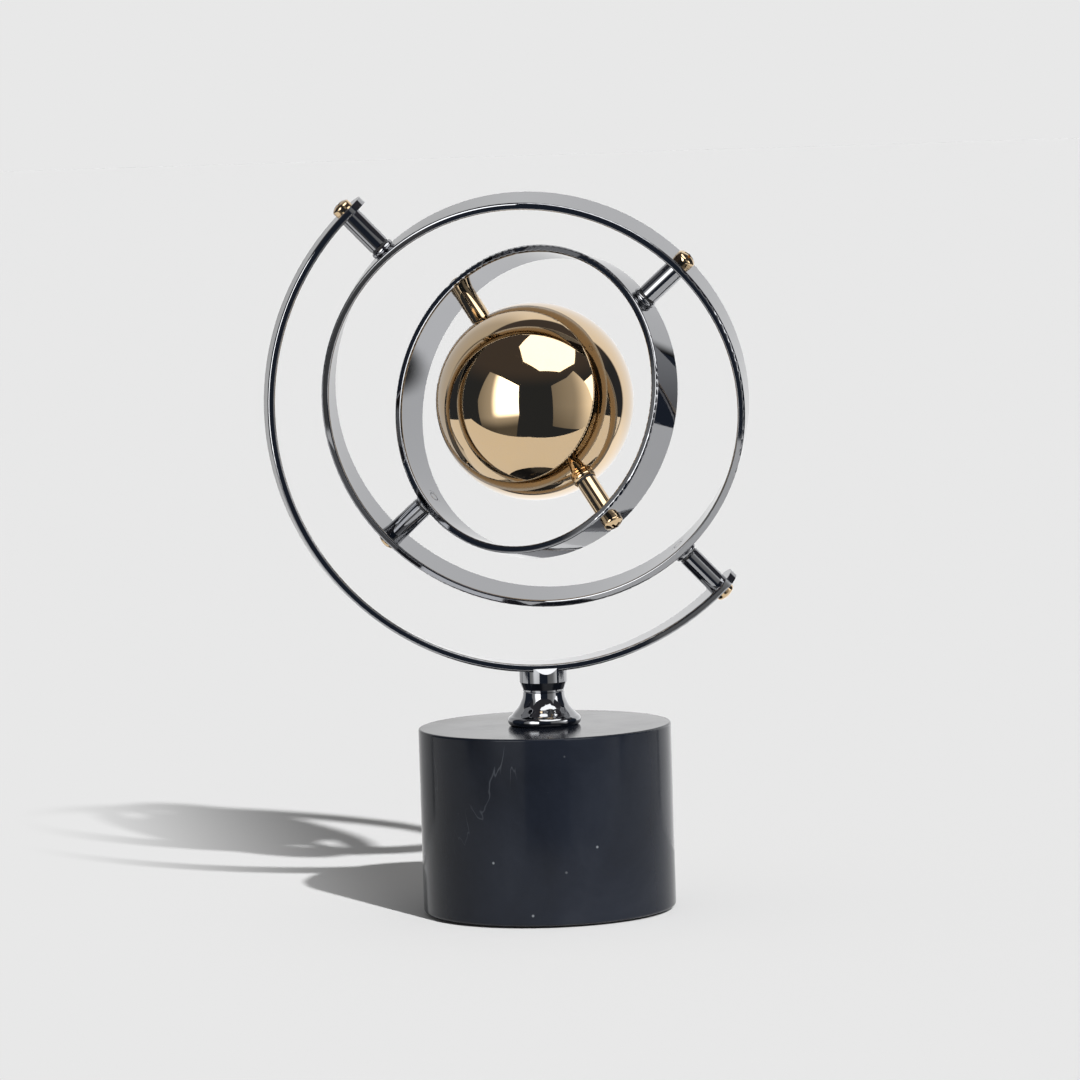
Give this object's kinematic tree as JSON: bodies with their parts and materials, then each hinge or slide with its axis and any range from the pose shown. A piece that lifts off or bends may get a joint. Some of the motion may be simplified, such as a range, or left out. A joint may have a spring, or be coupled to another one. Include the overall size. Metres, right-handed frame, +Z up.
{
  "type": "armillary sphere",
  "caption": "Desk armillary sphere: mirror-polished ball in nested gimbal rings, hung in an open arc on a turned pedestal and a round black marble base.",
  "frame": {"origin": "centre of the round rest face under the base pad", "axes": "+Z up; the open arc stands in the XZ plane with its raised tip towards -X; -Y is the side it is looked at from"},
  "size_m": [0.1889, 0.1, 0.2848],
  "materials": {
    "black_nickel": "polished black nickel",
    "gold_plate": "mirror-polished pale gold plate",
    "marble": "polished near-black marble",
    "felt": "matt pad",
    "steel": "zinc-plated",
    "nylon": "matt black"
  },
  "bodies": {
    "stand": {"base_pad": "felt", "marble_base": "marble", "clamp_washer": "steel", "clamp_bolt": "steel", "pedestal": "black_nickel", "outer_arc": "black_nickel", "middle_ring_upper_screw": "gold_plate", "middle_ring_upper_post": "black_nickel", "middle_ring_upper_friction_washer": "nylon", "middle_ring_lower_screw": "gold_plate", "middle_ring_lower_post": "black_nickel", "middle_ring_lower_friction_washer": "nylon"},
    "middle_gimbal": {"middle_ring": "black_nickel", "middle_ring_upper_bush": "black_nickel", "middle_ring_lower_bush": "black_nickel", "inner_ring_upper_screw": "gold_plate", "inner_ring_upper_post": "black_nickel", "inner_ring_upper_friction_washer": "nylon", "inner_ring_lower_screw": "gold_plate", "inner_ring_lower_post": "black_nickel", "inner_ring_lower_friction_washer": "nylon"},
    "inner_gimbal": {"inner_ring": "black_nickel", "inner_ring_upper_bush": "black_nickel", "inner_ring_lower_bush": "black_nickel", "ball_upper_screw": "gold_plate", "ball_upper_post": "gold_plate", "ball_upper_friction_washer": "nylon", "ball_lower_screw": "gold_plate", "ball_lower_post": "gold_plate", "ball_lower_friction_washer": "nylon"},
    "spun_ball": {"ball": "gold_plate", "ball_upper_bush": "gold_plate", "ball_lower_bush": "gold_plate"}
  },
  "joints": [
    {"name": "outer_pivot", "type": "hinge", "parent": "stand", "child": "middle_gimbal", "pos_m": [0, 0, 0.202], "axis": [0.6858, 0, -0.7278], "continuous": true},
    {"name": "inner_pivot", "type": "hinge", "parent": "middle_gimbal", "child": "inner_gimbal", "pos_m": [0, 0, 0.202], "axis": [0.6536, -0.4003, 0.6423], "continuous": true},
    {"name": "ball_spin", "type": "hinge", "parent": "inner_gimbal", "child": "spun_ball", "pos_m": [0, 0, 0.202], "axis": [-0.3825, 0.5576, 0.7367], "continuous": true}
  ]
}
